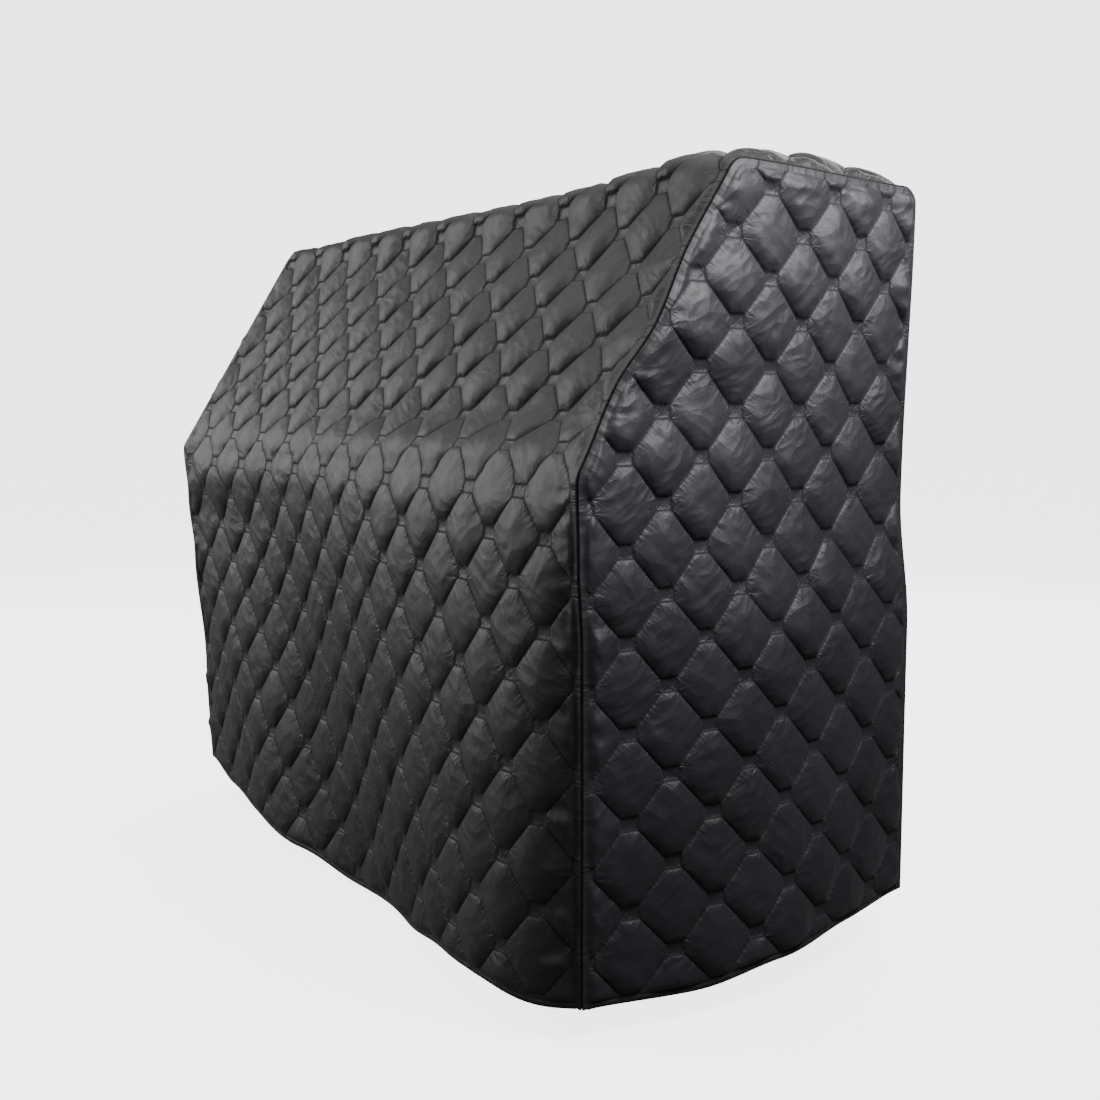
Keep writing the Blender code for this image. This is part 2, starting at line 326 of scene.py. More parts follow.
    def body(self, share: Array, place: Array) -> Array:
        """Find points of the body cloth's inner face.

        Args:
            share: Share of the width between the seams' rolls, from the left.
            place: Distance along the outline.

        Returns:
            The points.
        """
        inset, rolled = self.roll
        left, _, _, sunk_left = self.seam(End.LEFT, place)
        right, _, _, sunk_right = self.seam(End.RIGHT, place)
        width = right - left - 2 * inset
        x = left + inset + width * share
        near_left = fade(width * share, self.reach_left)
        near_right = fade(width * (1 - share), self.reach_right)
        free = eased(place, self.body_swell, 1) + sum(fold.at(x, place) for fold in self.body_folds)
        soft = np.clip(self.edge_softness - np.abs(place - KEYBOARD_EDGE), 0.0, None) ** 2
        soft = soft / (2 * self.edge_radius)
        off = rolled + (free - soft) * (1 - near_left) * (1 - near_right)
        off = off - sunk_left * near_left - sunk_right * near_right
        points, normals = OUTLINE.at(place)
        side = points + normals * off[..., None]
        return np.column_stack([x, side])

    def panel_edges(self, end: End, z: Array) -> tuple[Array, Array, Array, Array]:
        """Find where an end panel meets its seams' rolls at given heights.

        Args:
            end: Which end.
            z: The heights.

        Returns:
            y of the front edge, its place along the outline, y of the back edge and its place.
        """
        inset, _ = self.roll
        found = []
        for hem, top in zip((0.0, BACK_HEM), OUTLINE.top_run):
            places = np.linspace(hem, top, self.edge_samples)
            _, points, normals, _ = self.seam(end, places)
            points = points - normals * inset
            found.append(np.interp(z, points[:, 1], points[:, 0]))
            found.append(np.interp(z, points[:, 1], places))
        return tuple(found)

    def panel(self, end: End, across: Array, z: Array) -> Array:
        """Find points of an end panel's inner face.

        Args:
            end: Which end.
            across: Share of the depth between the seams' rolls, from the front.
            z: Height.

        Returns:
            The points.
        """
        inset, rolled = self.roll
        front_y, front_place, back_y, back_place = self.panel_edges(end, z)
        y = front_y + (back_y - front_y) * across
        front_x = self.seam(end, front_place)[0]
        back_x = self.seam(end, back_place)[0]
        held = np.ones_like(y)
        run, rise = OUTLINE.slope_run, OUTLINE.height - OUTLINE.edge_height
        to_front = y + OUTLINE.depth / 2
        to_slope = (to_front * rise - (z - OUTLINE.edge_height) * run) / math.hypot(run, rise)
        for distance in (to_front, to_slope, OUTLINE.height - z, OUTLINE.depth / 2 - y):
            held = held * (1 - fade(distance - inset, self.panel_reach))
        blend = (1 - np.cos(math.pi * within(across))) / 2
        off = rolled + held * self.panel_folds[end].at(y, z)
        x = front_x + (back_x - front_x) * blend + end.value * off
        return np.column_stack([x, y, z])


@dataclass(frozen=True)
class Weave:
    """How finely one cloth's quilting is meshed."""

    diagonal_steps: int
    flat_steps: int
    side_steps: int
    rings: Floats


@dataclass(frozen=True)
class Quilting:
    """The stitched pattern: eight-sided puffs in a diamond lattice, a small stitched box at each crossing."""

    width: float = 0.1365
    height: float = 0.130
    box_half_width: float = 0.0140
    box_half_height: float = 0.0100
    puff: float = 0.0104
    box_puff: float = -0.0012
    sag: float = 0.0026
    upper_run: float = 1.02
    lower_run: float = 0.60
    side_run: float = 0.70
    tuck: float = 0.0015
    tuck_share: float = 0.20
    least: float = 0.82
    spread: float = 0.36
    fineness: float = 2e4

    @property
    def corners(self) -> Array:
        """Find the corners of a puff.

        Returns:
            The corners about its middle, anticlockwise from the right side's lower one.
        """
        side, top = self.width / 2 - self.box_half_width, self.height / 2 - self.box_half_height
        flat, upright = self.box_half_width, self.box_half_height
        return np.array([
            (side, -upright), (side, upright), (flat, top), (-flat, top), (-side, upright), (-side, -upright),
            (-flat, -top), (flat, -top),
        ])

    @property
    def reach(self) -> float:
        """Measure a puff.

        Returns:
            The distance from its middle to its diagonal stitch lines.
        """
        (right, upright), (flat, top) = self.corners[1], self.corners[2]
        across, up = top - upright, right - flat
        return (right * across + upright * up) / math.hypot(across, up)

    def puff_mesh(self, weave: Weave) -> tuple[Array, Faces]:
        """Lay out one flat puff.

        Args:
            weave: How finely.

        Returns:
            Its points about its middle, and its faces.
        """
        steps = [weave.side_steps, weave.diagonal_steps, weave.flat_steps, weave.diagonal_steps] * 2
        corners = self.corners
        rim = np.vstack([
            corners[i] + (corners[(i + 1) % 8] - corners[i]) * np.linspace(0.0, 1.0, steps[i] + 1)[:-1, None]
            for i in range(8)
        ])
        count = len(rim)
        points = [rim]
        faces = []
        for ring, share in enumerate(weave.rings):
            points.append(rim * (1 - share))
            for i in range(count):
                low, next_low = ring * count + i, ring * count + (i + 1) % count
                faces.append((low, next_low, next_low + count, low + count))
        last = len(weave.rings) * count
        points.append(np.zeros((1, 2)))
        faces.extend((last + i, last + (i + 1) % count, last + count) for i in range(count))
        return np.vstack(points), faces

    def box_mesh(self, weave: Weave) -> tuple[Array, Faces]:
        """Lay out one flat stitched box.

        Args:
            weave: How finely.

        Returns:
            Its points about its middle, and its faces.
        """
        across = np.linspace(-self.box_half_width, self.box_half_width, weave.flat_steps + 1)
        up = np.linspace(-self.box_half_height, self.box_half_height, weave.side_steps + 1)
        points = np.array([(x, y) for y in up for x in across])
        row = len(across)
        faces = [
            (j * row + i, j * row + i + 1, (j + 1) * row + i + 1, (j + 1) * row + i)
            for j in range(len(up) - 1)
            for i in range(len(across) - 1)
        ]
        return points, faces

    def layout(self, weave: Weave, columns: Pair, rows: Pair) -> tuple[Array, Faces]:
        """Lay out the quilting flat.

        Args:
            weave: How finely.
            columns: First and last column that a puff's middle may have.
            rows: First and last row that a puff's middle may have, counted down the cloth.

        Returns:
            Points as column and row, and faces.
        """
        halves = [(i / 2, j / 2) for j in range(math.ceil(2 * rows[0]), math.floor(2 * rows[1]) + 1)
                  for i in range(math.ceil(2 * columns[0]), math.floor(2 * columns[1]) + 1)]
        puffs = np.array([m for m in halves if (2 * m[0] + 2 * m[1]) % 2 == 1])
        boxes = np.array([m for m in halves if (2 * m[0]) % 2 == (2 * m[1]) % 2])
        scale = np.array([self.width, -self.height])
        points, faces, count = [], [], 0
        for middles, (shape, shape_faces) in ((puffs, self.puff_mesh(weave)), (boxes, self.box_mesh(weave))):
            placed = middles[:, None, :] + (shape / scale)[None, :, :]
            points.append(placed.reshape(-1, 2))
            for k in range(len(middles)):
                base = count + k * len(shape)
                faces.extend(tuple(base + i for i in face) for face in shape_faces)
            count += len(middles) * len(shape)
        every = np.vstack(points)
        spots = np.round(every * self.fineness).astype(np.int64)
        _, first, index = np.unique(spots, axis=0, return_index=True, return_inverse=True)
        index = index.reshape(-1)
        return every[first], [tuple(int(index[i]) for i in face) for face in faces]

    def relief(self, column: Array, row: Array, seed: int) -> tuple[Array, Array]:
        """Work out how the wadding puffs the cloth.

        Args:
            column: Column of each point.
            row: Row of each point, counted down the cloth.
            seed: Which cloth.

        Returns:
            How far each point stands off, and how full it is from 0 at a stitch to 1.
        """
        best = np.full(column.shape, -1.0)
        rise, chance = np.zeros_like(column), np.zeros_like(column)
        (right, upright), (flat, top) = self.corners[1], self.corners[2]
        across, up = top - upright, right - flat
        for shift in (0.0, 0.5):
            middle_column = np.round(column - 0.5 + shift) + 0.5 - shift
            middle_row = np.round(row - shift) + shift
            x = np.abs(column - middle_column) * self.width
            y = (middle_row - row) * self.height
            upper = self.reach - (x * across + y * up) / math.hypot(across, up)
            lower = self.reach - (x * across - y * up) / math.hypot(across, up)
            upper, lower, side = np.minimum(upper, top - y), np.minimum(lower, top + y), right - x
            inside = np.minimum(np.minimum(upper, lower), side)
            bulge = 1.0
            for distance, run in ((upper, self.upper_run), (lower, self.lower_run), (side, self.side_run)):
                bulge = bulge * (1 - (1 - within(distance, run * self.reach)) ** 2)
            found = inside > best
            best = np.where(found, inside, best)
            rise = np.where(found, bulge, rise)
            chance = np.where(found, scattered(middle_column, middle_row, seed, PUFF_MIX), chance)
        x = np.abs(column - np.round(column * 2) / 2) * self.width
        y = np.abs(row - np.round(row * 2) / 2) * self.height
        boxed = np.minimum(self.box_half_width - x, self.box_half_height - y)
        in_box = best < 0
        tuck = 1 - fade(best, self.tuck)
        full = np.where(in_box, 0.0, rise)
        stand = self.puff * (self.tuck_share * tuck + (1 - self.tuck_share) * full)
        stand = stand * (self.least + self.spread * chance)
        return np.where(in_box, self.box_puff * within(boxed, self.box_half_height), stand), full


QUILTING = Quilting()
DRAPE = Drape()


@dataclass(frozen=True)
class Cut:
    """A straight cut or extra row across a laid-out cloth."""

    axis: int
    at: float
    keep_above: bool = True
    trim: bool = True


@dataclass
class Layout:
    """A cloth laid out: where each point goes on the cover, its place in the quilting, and the faces."""

    places: Array
    lattice: Array
    faces: Faces

    def trimmed(self, cuts: list[Cut]) -> Layout:
        """Cut the cloth along straight lines.

        Args:
            cuts: The cuts, in order.

        Returns:
            The cut cloth.
        """
        mesh = bmesh.new()
        column = mesh.verts.layers.float.new("column")
        row = mesh.verts.layers.float.new("row")
        verts = [mesh.verts.new(place) for place in self.places.tolist()]
        for vert, (across, down) in zip(verts, self.lattice.tolist()):
            vert[column], vert[row] = across, down
        for face in self.faces:
            mesh.faces.new([verts[i] for i in face])
        for cut in cuts:
            point, way = [0.0] * 3, [0.0] * 3
            point[cut.axis], way[cut.axis] = cut.at, -1.0 if cut.keep_above else 1.0
            every = mesh.verts[:] + mesh.edges[:] + mesh.faces[:]
            bmesh.ops.bisect_plane(
                mesh, geom=every, dist=WELD, plane_co=point, plane_no=way, clear_outer=cut.trim
            )
        loose = [vert for vert in mesh.verts if not vert.link_faces]
        bmesh.ops.delete(mesh, geom=loose, context="VERTS")
        mesh.verts.index_update()
        places = np.array([vert.co[:] for vert in mesh.verts])
        lattice = np.array([(vert[column], vert[row]) for vert in mesh.verts])
        faces = [tuple(vert.index for vert in face.verts) for face in mesh.faces]
        mesh.free()
        return Layout(places, lattice, faces)

    def border(self, on_border: Array) -> Edges:
        """Find the open edges between marked points.

        Args:
            on_border: Which points are marked.

        Returns:
            The edges, in their faces' direction.
        """
        marked = on_border.tolist()
        pairs = (pair for face in self.faces for pair in zip(face, face[1:] + face[:1]))
        found = {(a, b): None for a, b in pairs if marked[a] and marked[b]}
        return [(a, b) for a, b in found if (b, a) not in found]


@dataclass
class Surface:
    """A cloth in place: its points, faces and what its finish reads at each point."""

    points: Array
    faces: Faces
    lattice: Array
    hem: Array
    seam: Array

    def extend(self, edges: Edges, rows: list[Array], hem: float = -1.0, seams: Floats = ()) -> None:
        """Carry a border on round a turn.

        Args:
            edges: The border's edges.
            rows: Where every point of the cloth would go, for each new row; only border points are used.
            hem: Distance to the hem that the new points are given, if not negative.
            seams: Distance to the seam that each new row is given, or none to keep the border's.
        """
        used = sorted({i for edge in edges for i in edge})
        last = {i: i for i in used}
        for step, row in enumerate(rows):
            start = len(self.points)
            fresh = {i: start + k for k, i in enumerate(used)}
            self.points = np.vstack([self.points, row[used]])
            self.lattice = np.vstack([self.lattice, self.lattice[used]])
            self.hem = np.append(self.hem, self.hem[used] if hem < 0 else np.full(len(used), hem))
            self.seam = np.append(self.seam, np.full(len(used), seams[step]) if seams else self.seam[used])
            self.faces.extend((last[b], last[a], fresh[a], fresh[b]) for a, b in edges)
            last = fresh

    def build(self, name: str, flip: bool) -> Piece:
        """Make the mesh.

        Args:
            name: The piece's name.
            flip: Whether the faces look inwards and are turned over.

        Returns:
            The piece.
        """
        faces = [face[::-1] for face in self.faces] if flip else self.faces
        mesh = bpy.data.meshes.new(name)
        mesh.from_pydata(self.points.tolist(), [], faces)
        corner_points = np.empty(len(mesh.loops), dtype=np.int64)
        mesh.loops.foreach_get("vertex_index", corner_points)
        mesh.uv_layers.new(name="cloth").data.foreach_set("uv", self.lattice[corner_points].ravel())
        for title, values in (("hem", self.hem), ("seam", self.seam)):
            mesh.attributes.new(title, "FLOAT", "POINT").data.foreach_set("value", values)
        mesh.shade_smooth()
        mesh.update()
        piece = bpy.data.objects.new(name, mesh)
        bpy.context.scene.collection.objects.link(piece)
        return piece


@dataclass
class Ground:
    """A cloth's stitched ground: points, directions out and down, distances to the hem and nearest seam."""

    points: Array
    normals: Array
    down: Array
    hem: Array
    seam: Array


@dataclass
class QuiltedCloth:
    """What every cloth of the cover shares: its quilting, its seam rolls and its turned hem, in metres."""

    weave: Weave
    seed: int
    probe: float = 0.0015
    ground: float = -0.0040
    seam_fade: float = 0.0055
    seam_rise: float = 0.0100
    seam_ground: float = -0.0015
    seam_out: float = 0.0037
    seam_edge: float = 0.0062
    seam_steps: Floats = (0.0022, 0.0014, 0.0006, 0.0, 0.0, 0.0)
    valley_radius: float = 0.0015
    valley_gap: float = 0.0004
    valley_turns: Floats = (80.0, 115.0, 150.0, 185.0, 225.0)
    hem_radius: float = 0.0021
    hem_turns: Floats = (30.0, 60.0, 90.0, 125.0, 160.0)
    on_hem: float = 6e-4
    hem_stitch: float = 0.0080
    hem_turn_up: float = 0.0150
    hem_run: float = 0.0160
    hem_crest: float = 0.0014
    lump: float = 0.0009
    lump_size: Pair = (0.047, 0.041)
    ridge_size: Pair = (0.052, 0.022)
    ridge_share: float = 0.7
    lump_lean: Pair = (0.92, 0.39)
    gather: float = 0.0042
    gather_size: Pair = (0.050, 0.017)
    gather_shift: float = 7.0
    gather_place: float = 0.012
    gather_reach: float = 0.020
    free_from: float = 0.004
    free_run: float = 0.006
    free_of_hem: float = 0.030
    hem_cuts: Floats = (0.0012, 0.004, 0.0068, 0.008, 0.0092, 0.013, 0.019)
    end_cuts: Floats = (0.003, 0.007, 0.013, 0.022)

    def lifted(self, ground: Ground, lattice: Array, loft: Array | float) -> Array:
        """Raise the puffs off the stitched ground, and let them sag.

        Args:
            ground: The stitched ground.
            lattice: Column and row of each point.
            loft: How much of its full height each puff keeps where the cloth is stretched over an edge.

        Returns:
            The raised points.
        """
        column, row = lattice[:, 0], lattice[:, 1]
        hem, seam = ground.hem, ground.seam
        stand, full = QUILTING.relief(column, row, self.seed)
        across, down = column * QUILTING.width, row * QUILTING.height
        lean_x, lean_y = self.lump_lean
        bias, fall = lean_x * across + lean_y * down, lean_x * down - lean_y * across
        (lump_x, lump_y), (ridge_x, ridge_y) = self.lump_size, self.ridge_size
        lumps = noise(bias / lump_x, fall / lump_y, self.seed)
        lumps = lumps + self.ridge_share * noise(fall / ridge_x, bias / ridge_y, self.seed + 1)
        stand = stand * loft + self.lump * lumps * np.sqrt(full)
        from_hem = within(hem - self.hem_stitch, self.hem_run)
        from_hem = from_hem * (2 - from_hem)
        from_seam = 1 - fade(seam, self.seam_fade)
        gather_x, gather_y = self.gather_size
        waver = noise(across / gather_x + self.gather_shift, down / gather_y, self.seed + 2)
        waver = waver * np.exp(-np.abs(seam - self.gather_place) / self.gather_reach)
        band = within(1 - np.abs(hem - self.hem_stitch / 2) / (self.hem_stitch / 2))
        free = within(seam - self.free_from, self.free_run) * within(hem, self.free_of_hem)
        off = self.settled(seam) + stand * from_hem * from_seam
        off = off + self.hem_crest * np.sqrt(band) + self.gather * waver * free
        droop = np.array([0.0, 0.0, -1.0]) + ground.normals * ground.normals[:, 2:3]
        sagging = QUILTING.sag * full * from_hem * from_seam
        return ground.points + ground.normals * off[:, None] + droop * sagging[:, None]

    def end_lines(self, width: float) -> list[Cut]:
        """Extra rows of points beside both ends."""
        return [Cut(0, at, trim=False) for off in self.end_cuts for at in (off, width - off)]

    def hem_lines(self) -> list[Cut]:
        """Extra rows of points along the hem."""
        return [Cut(1, at, trim=False) for at in self.hem_cuts]

    def settled(self, seam: Array) -> Array:
        """Where the stitched ground lies off the draped shape; it comes up towards it at a seam."""
        return self.ground + (self.seam_ground - self.ground) * fade(seam, self.seam_rise)

    def hemmed(self, ground: Ground, inside: Array, layout: Layout, loft: Array | float = 1.0) -> Surface:
        """Puff the cloth, roll its hem under and carry it up inside.

        Args:
            ground: The stitched ground.
            inside: The ground's points a turn-up's width above.
            layout: The laid-out cloth.
            loft: How much of its full height each puff keeps.

        Returns:
            The cloth in place, its seams not yet turned in.
        """
        raised = self.lifted(ground, layout.lattice, loft) + DRAPE.shift
        seam = ground.seam + self.seam_edge
        surface = Surface(raised, list(layout.faces), layout.lattice, ground.hem, seam)
        middle = (self.settled(ground.seam) - self.hem_radius)[:, None]
        rows = []
        for angle in np.radians(self.hem_turns):
            stand = middle + self.hem_radius * math.cos(angle)
            turned = ground.points + ground.normals * stand + ground.down * self.hem_radius * math.sin(angle)
            rows.append(turned + DRAPE.shift)
        rows.append(inside + ground.normals * (middle - self.hem_radius) + DRAPE.shift)
        surface.extend(layout.border(np.abs(ground.hem) < self.on_hem), rows, hem=0.0)
        return surface

    def seam_section(self) -> list[Pair]:
        """Find the way from the roll down into the seam.

        Returns:
            The outer face's inset and standing at each step.
        """
        hub = (self.valley_radius + self.valley_gap) / math.sqrt(2)
        inner, outer = hub - self.seam_out, hub + self.seam_out
        turns = [
            (inner + self.valley_radius * math.cos(angle), outer + self.valley_radius * math.sin(angle))
            for angle in np.radians(self.valley_turns)
        ]
        inset, standing = turns[-1]
        step = DRAPE.allowance / math.sqrt(2)
        return turns + [(inset + step, standing - step)]

    def turn_in(self, surface: Surface, edges: Edges, end: End, place: Array, steps: list[Pair]) -> None:
        """Turn a cloth's edge down into an end's seam.

        Args:
            surface: The cloth.
            edges: The edge's border.
            end: Which end.
            place: Place along the outline of each point.
            steps: How far out of the end, and how far off the outline, each new row goes.
        """
        x, side, outward, _ = DRAPE.seam(end, place)
        rows = [
            np.column_stack([x + end.value * out, side + outward * off]) + DRAPE.shift
            for out, off in steps
        ]
        surface.extend(edges, rows, seams=self.seam_steps)


def unit(vectors: Array) -> Array:
    """Scale vectors to length one."""
    return vectors / np.linalg.norm(vectors, axis=1, keepdims=True)


@dataclass
class BodyCloth(QuiltedCloth):
    """Part of the long cloth over the front, slope, top and back."""

    name: str = "body_cloth_front"
    columns: Pair = (-0.5, 12.5)
    rows: Pair = (-8.0, 5.5)
    hem_at_back: bool = False
    first_row_place: float = 0.6345
    seam_shift: float = 0.0090
    seam_fade: float = 0.0050
    gather: float = 0.0060
    loft: Pair = (0.80, 0.25)
    loft_run: float = 0.150
    edge_stretch: float = 0.50
    edge_reach: float = 0.070
    far_slope: Triple = (-0.1345, -1.25, 0.05)
    row_sag: Pair = (0.0073, 0.0097)
    row_sag_below: Pair = (-0.0081, 0.0171)
    sag_from: float = -2.5
    sag_rows: float = 2.0
    on_end: float = 4e-4
    flat: Pair = (1.60, 1.72)

    def share_of(self, across: Array, place: Array) -> Array:
        """Find shares of the width from distances along the cloth.

        Args:
            across: Distance along the cloth from the right seam's roll.
            place: Place along the outline.

        Returns:
            Share of the width from the left seam's roll.
        """
        past_end, samples, lowest, step = 0.12, 311, -0.20, 0.010
        shares = np.linspace(1 + past_end, -past_end, samples)
        count = int((BACK_HEM - 2 * lowest) / step) + 2
        steps = lowest + step * np.arange(count)
        grid = DRAPE.body(np.tile(shares, count), np.repeat(steps, len(shares))).reshape(count, -1, 3)
        run = np.linalg.norm(np.diff(grid, axis=1), axis=2)
        run = np.hstack([np.zeros((count, 1)), np.cumsum(run, axis=1)])
        start = np.array([np.interp(-1.0, -shares, run[i]) for i in range(count)])
        run = run - start[:, None]
        position = (place - lowest) / step
        below = np.clip(np.floor(position).astype(int), 0, count - 2)
        found = np.empty_like(across)
        for i in np.unique(below):
            here = below == i
            low = np.interp(across[here], run[i], shares)
            high = np.interp(across[here], run[i + 1], shares)
            found[here] = low + (high - low) * (position[here] - i)
        return found

    def hem_height(self, share: Array) -> Array:
        """Height of this part's hem across the width."""
        return eased(share, DRAPE.body_hem, 2 if self.hem_at_back else 1)

    def laid_out(self) -> Layout:
        """Lay out and trim the cloth.

        Returns:
            The cloth; its places are distance across, height above the hem, and place on the outline.
        """
        lattice, faces = QUILTING.layout(self.weave, self.columns, self.rows)
        column, row = lattice[:, 0], lattice[:, 1]
        far = np.clip(self.far_slope[0] * column, *self.far_slope[1:])
        (near, farther), (near_below, farther_below) = self.row_sag, self.row_sag_below
        sag = near + farther * far + row / 4 * (near_below + farther_below * far)
        below_edge = within(row - self.sag_from, self.sag_rows)
        place = self.first_row_place - QUILTING.height * row + sag * below_edge
        share = self.share_of(column * QUILTING.width - self.seam_shift, place)
        above = BACK_HEM - place if self.hem_at_back else place
        above = above - self.hem_height(within(share))
        width = DRAPE.length
        layout = Layout(np.column_stack([share * width, above, place]), lattice, faces)
        trims = [Cut(0, 0.0), Cut(0, width, keep_above=False)]
        return layout.trimmed(trims + self.end_lines(width) + [Cut(1, 0.0)] + self.hem_lines())

    def build(self) -> Piece:
        """Build the piece.

        Returns:
            The piece.
        """
        layout = self.laid_out()
        width = DRAPE.length
        share = layout.places[:, 0] / width
        hem, place = layout.places[:, 1], layout.places[:, 2]
        points, normals, along = self.ground_at(share, place)
        seam = np.minimum(share, 1 - share) * width
        (front_loft, more_loft), past_edge = self.loft, place - KEYBOARD_EDGE
        loft = front_loft + more_loft * within(past_edge, self.loft_run)
        loft = loft * (1 - self.edge_stretch * np.exp(-((past_edge / self.edge_reach) ** 2)))
        turn_up = -self.hem_turn_up if self.hem_at_back else self.hem_turn_up
        inside, _, _ = self.ground_at(share, place + turn_up)
        ground = Ground(points, normals, along if self.hem_at_back else -along, hem, seam)
        surface = self.hemmed(ground, inside, layout, loft)
        steps = [(-inset, standing) for inset, standing in self.seam_section()]
        for end in End:
            at_end = share > 1 - self.on_end if end is End.RIGHT else share < self.on_end
            self.turn_in(surface, layout.border(at_end), end, place, steps)
        return surface.build(self.name, True)

    def ground_at(self, share: Array, place: Array) -> tuple[Array, Array, Array]:
        """Find the stitched ground.

        Args:
            share: Share of the width.
            place: Place along the outline.

        Returns:
            Points, outward directions, and directions along the outline.
        """
        step = self.probe
        points = DRAPE.body(share, place)
        along = DRAPE.body(share, place + step) - DRAPE.body(share, place - step)
        across = DRAPE.body(share + step, place) - DRAPE.body(share - step, place)
        return points, unit(np.cross(across, along)), unit(along)


@dataclass
class EndPanel(QuiltedCloth):
    """A flat end panel, sewn in along front, slope, top and back, and hemmed below."""

    end: End = End.RIGHT
    name: str = "right_end_panel_cloth"
    columns: Pair = (-0.5, 5.5)
    rows: Pair = (-5.5, 5.5)
    first_row_height: float = 0.624
    low_width: float = 0.1437
    high_width: float = 0.1310
    drag: float = 0.022
    flat: Pair = (0.70, 1.27)
    flat_area: float = 0.79
    drag_from: float = 0.72
    drag_run: float = 0.22
    on_end: float = 8e-4
    on_top: float = 5e-4
    rim_samples: int = 700
    top_cuts: Floats = (0.001, 0.003, 0.007, 0.013, 0.022)

    def top(self, across: Array) -> Array:
        """Find the top seam's roll.

        Args:
            across: Share of the depth.

        Returns:
            Its height.
        """
        first, last = OUTLINE.top_run
        place = first + (last - first) * within(across)
        return OUTLINE.height - DRAPE.roll[0] - DRAPE.seam(self.end, place)[3]

    def hem_height(self, across: Array) -> Array:
        """Height of the hem across the panel."""
        return eased(across, DRAPE.panel_hem, 1 if self.end is End.RIGHT else 2)

    def laid_out(self) -> Layout:
        """Lay out and trim the panel.

        Returns:
            The panel; its places are distance across, height above the hem, and depth below the top.
        """
        lattice, faces = QUILTING.layout(self.weave, self.columns, self.rows)
        column, row = lattice[:, 0], lattice[:, 1]
        z = self.first_row_height - QUILTING.height * row
        repeat = self.low_width + (self.high_width - self.low_width) * z / OUTLINE.height
        y = -OUTLINE.depth / 2 + column * repeat
        front, _, back, _ = DRAPE.panel_edges(self.end, np.clip(z, 0.0, OUTLINE.height))
        across = (y - front) / (back - front)
        middle = np.sin(math.pi * within(across)) * within(z - self.drag_from, self.drag_run)
        across = across + self.drag * middle / (back - front)
        above = z - self.hem_height(within(across))
        width = OUTLINE.depth
        layout = Layout(np.column_stack([across * width, above, self.top(across) - z]), lattice, faces)
        trims = [Cut(0, 0.0), Cut(0, width, keep_above=False), Cut(1, 0.0), Cut(2, 0.0)]
        top_lines = [Cut(2, off, trim=False) for off in self.top_cuts]
        return layout.trimmed(trims + self.end_lines(width) + self.hem_lines() + top_lines)

    def ground_at(self, across: Array, z: Array) -> tuple[Array, Array, Array]:
        """Find the stitched ground.

        Args:
            across: Share of the depth.
            z: Height.

        Returns:
            Points, outward directions, and upward directions.
        """
        step = self.probe
        points = DRAPE.panel(self.end, across, z)
        y, x = points[:, 1], points[:, 0]
        beside = DRAPE.panel(self.end, across + step, z)
        rise = DRAPE.panel(self.end, across, z + step) - DRAPE.panel(self.end, across, z - step)
        slope_y = (beside[:, 0] - x) / (beside[:, 1] - y)
        slope_z = (rise[:, 0] - slope_y * rise[:, 1]) / np.where(rise[:, 2] > 0, rise[:, 2], step)
        normals = unit(np.column_stack([np.ones_like(x), -slope_y, -slope_z]) * self.end.value)
        up = unit(np.column_stack([slope_z, np.zeros_like(x), np.ones_like(x)]))
        return points, normals, up

    def build(self) -> Piece:
        """Build the piece.

        Returns:
            The piece.
        """
        layout = self.laid_out()
        width = OUTLINE.depth
        across = within(layout.places[:, 0], width)
        hem, below = layout.places[:, 1], np.clip(layout.places[:, 2], 0.0, None)
        z = self.top(across) - below
        points, normals, up = self.ground_at(across, z)
        front, front_place, back, back_place = DRAPE.panel_edges(self.end, z)
        y = points[:, 1]
        _, rim, outward, _ = DRAPE.seam(self.end, np.linspace(0.0, BACK_HEM, self.rim_samples))
        rim = rim - outward * DRAPE.roll[0]
        seam = np.full(len(y), np.inf)
        for rim_y, rim_z in rim:
            seam = np.minimum(seam, np.hypot(y - rim_y, z - rim_z))
        seam = np.minimum(np.minimum(seam, below), np.minimum(y - front, back - y))
        seam = np.clip(seam, 0.0, None)
        inside, _, _ = self.ground_at(across, z + self.hem_turn_up)
        surface = self.hemmed(Ground(points, normals, -up, hem, seam), inside, layout)
        on_top = below < self.on_top
        top_place = TOP_FRONT + y - OUTLINE.corners[2, 0]
        place = np.where(across < 0.5, front_place, back_place)
        place = np.where(on_top & (top_place > front_place) & (top_place < back_place), top_place, place)
        steps = [(standing, -inset) for inset, standing in self.seam_section()]
        sewn = (across < self.on_end) | (across > 1 - self.on_end) | on_top
        self.turn_in(surface, layout.border(sewn), self.end, place, steps)
        return surface.build(self.name, self.end is End.LEFT)


@dataclass(frozen=True)
class Value:
    """A number in a shader tree; plain arithmetic on it adds Math nodes."""

    graph: Graph
    socket: Socket

    def __add__(self, other: object) -> Value:
        """Add."""
        return self.graph.math("ADD", self, other)

    def __sub__(self, other: object) -> Value:
        """Take away."""
        return self.graph.math("SUBTRACT", self, other)

    def __rsub__(self, other: object) -> Value:
        """Take this away from a number."""
        return self.graph.math("SUBTRACT", other, self)

    def __mul__(self, other: object) -> Value:
        """Multiply."""
        return self.graph.math("MULTIPLY", self, other)

    def __truediv__(self, other: object) -> Value:
        """Divide."""
        return self.graph.math("DIVIDE", self, other)


